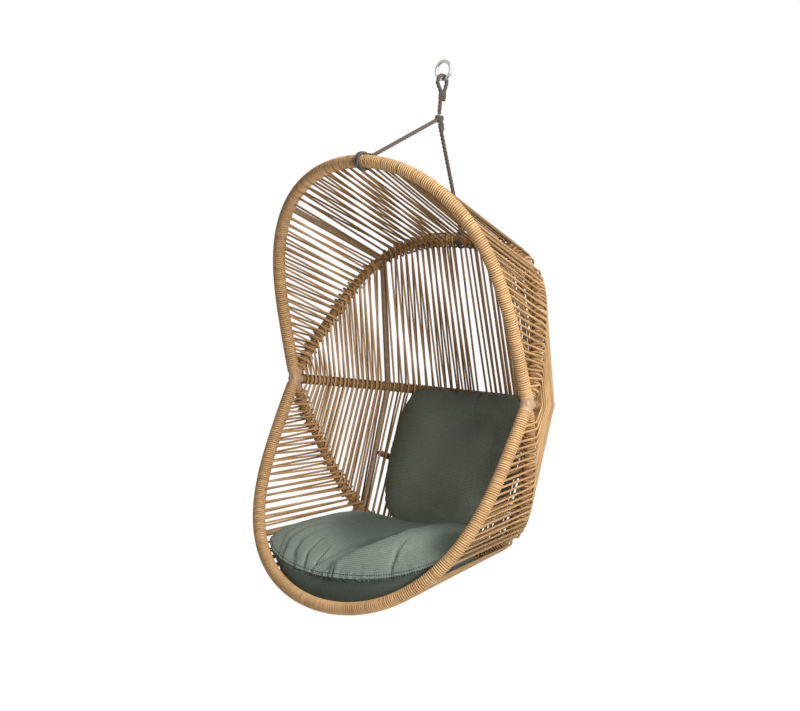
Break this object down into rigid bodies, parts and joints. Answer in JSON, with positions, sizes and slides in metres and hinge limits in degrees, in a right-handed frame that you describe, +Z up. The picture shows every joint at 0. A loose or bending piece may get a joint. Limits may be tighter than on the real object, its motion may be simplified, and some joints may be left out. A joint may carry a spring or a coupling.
{
  "type": "hanging pod chair",
  "caption": "Hanging pod armchair: bound hoops fan out from two side knuckles, strung with round fibre, with two loose cushions, a rope bridle and a hanging ring.",
  "frame": {"origin": "middle of the hanging ring, straight above the pod's centre of mass", "axes": "+X to the sitter's left, +Y to the back of the chair, +Z up"},
  "size_m": [0.9076, 0.6939, 1.5807],
  "materials": {
    "fibre": "round synthetic wicker fibre, tan and brown",
    "tube_paint": "brown powder coat",
    "knuckle_paint": "beige powder coat",
    "seat_fabric": "woven green-grey outdoor fabric",
    "back_fabric": "woven dark olive-grey fabric",
    "rope": "twisted dark rope",
    "ring_steel": "plain round steel"
  },
  "bodies": {
    "hanger": {"hanging_ring": "ring_steel"},
    "rope": {"hanging_rope": "rope"},
    "knot": {"rope_knot": "rope"},
    "pod": {"hood_rim": "fibre", "upper_back_hoop": "fibre", "middle_back_hoop": "fibre", "lower_back_hoop": "fibre", "seat_rim": "fibre", "back_cross_bar": "fibre", "left_knuckle": "knuckle_paint", "left_hood_strut": "tube_paint", "left_hood_wing_web": "fibre", "left_hood_web": "fibre", "left_upper_spine": "tube_paint", "left_upper_back_wing_web": "fibre", "left_upper_back_web": "fibre", "left_lower_spine": "tube_paint", "left_lower_back_wing_web": "fibre", "left_lower_back_web": "fibre", "left_seat_strut": "tube_paint", "left_seat_wing_web": "fibre", "left_seat_web": "fibre", "right_knuckle": "knuckle_paint", "right_hood_strut": "tube_paint", "right_hood_wing_web": "fibre", "right_hood_web": "fibre", "right_upper_spine": "tube_paint", "right_upper_back_wing_web": "fibre", "right_upper_back_web": "fibre", "right_lower_spine": "tube_paint", "right_lower_back_wing_web": "fibre", "right_lower_back_web": "fibre", "right_seat_strut": "tube_paint", "right_seat_wing_web": "fibre", "right_seat_web": "fibre", "front_rope_lashing": "rope", "front_rope_leg": "rope", "rear_rope_lashing": "rope", "rear_rope_leg": "rope"},
    "seat_pad": {"seat_cushion": "seat_fabric"},
    "back_pad": {"back_cushion": "back_fabric"}
  },
  "joints": [
    {"name": "swing_fore_aft", "type": "hinge", "parent": "hanger", "child": "rope", "pos_m": [0, 0, -0.026], "axis": [1, 0, 0], "range_deg": [-25, 25]},
    {"name": "twist", "type": "hinge", "parent": "rope", "child": "knot", "pos_m": [0, 0, -0.1397], "axis": [0, 0, 1], "range_deg": [-180, 180]},
    {"name": "sway_sideways", "type": "hinge", "parent": "knot", "child": "pod", "pos_m": [0, 0, -0.1397], "axis": [0, 1, 0], "range_deg": [-15, 15]},
    {"name": "seat_cushion_lift", "type": "slide", "parent": "pod", "child": "seat_pad", "axis": [0, -0.2, 0.9798], "range_m": [0, 0.12]},
    {"name": "back_cushion_lift", "type": "slide", "parent": "pod", "child": "back_pad", "axis": [0, -0.3, 0.9539], "range_m": [0, 0.15]}
  ]
}
